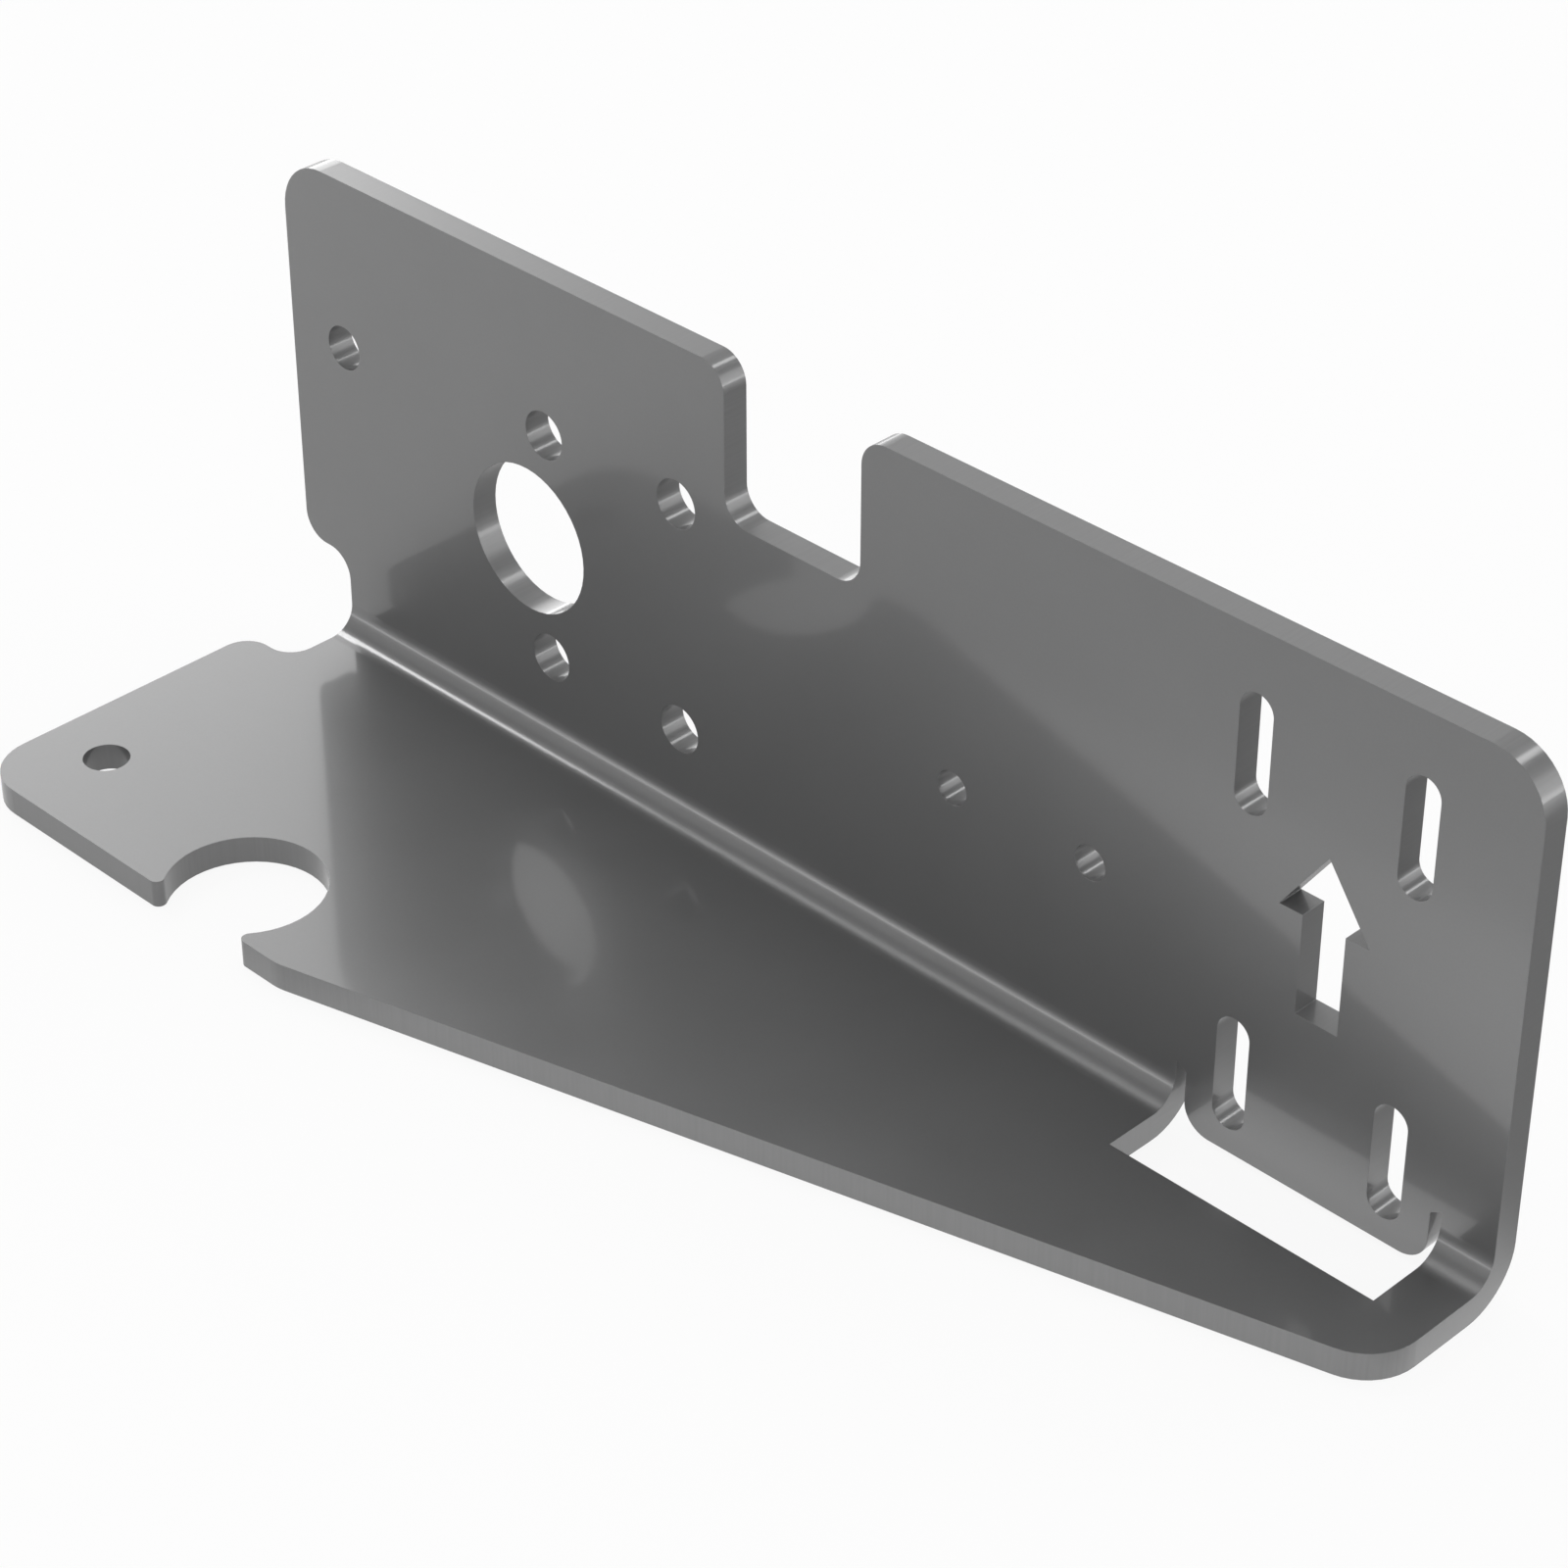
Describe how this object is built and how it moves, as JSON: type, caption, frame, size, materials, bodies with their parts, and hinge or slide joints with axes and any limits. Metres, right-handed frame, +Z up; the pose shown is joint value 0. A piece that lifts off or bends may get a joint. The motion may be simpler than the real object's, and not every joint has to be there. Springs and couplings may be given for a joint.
{
  "type": "filter mounting bracket",
  "caption": "Folded sheet steel bracket: a notched upright plate with slots, an arrow and fixing holes, on a tapered foot flange with a round notch and a window.",
  "frame": {"origin": "middle of the bounding box in plan, on the underside of the foot flange", "axes": "+X along the bend towards the slotted end, +Y from the foot's front edge towards the back of the upright, +Z up the upright"},
  "size_m": [0.16, 0.048, 0.057],
  "materials": {
    "steel": "satin, bare metal"
  },
  "bodies": {
    "root": {"bracket": "steel"}
  },
  "joints": []
}
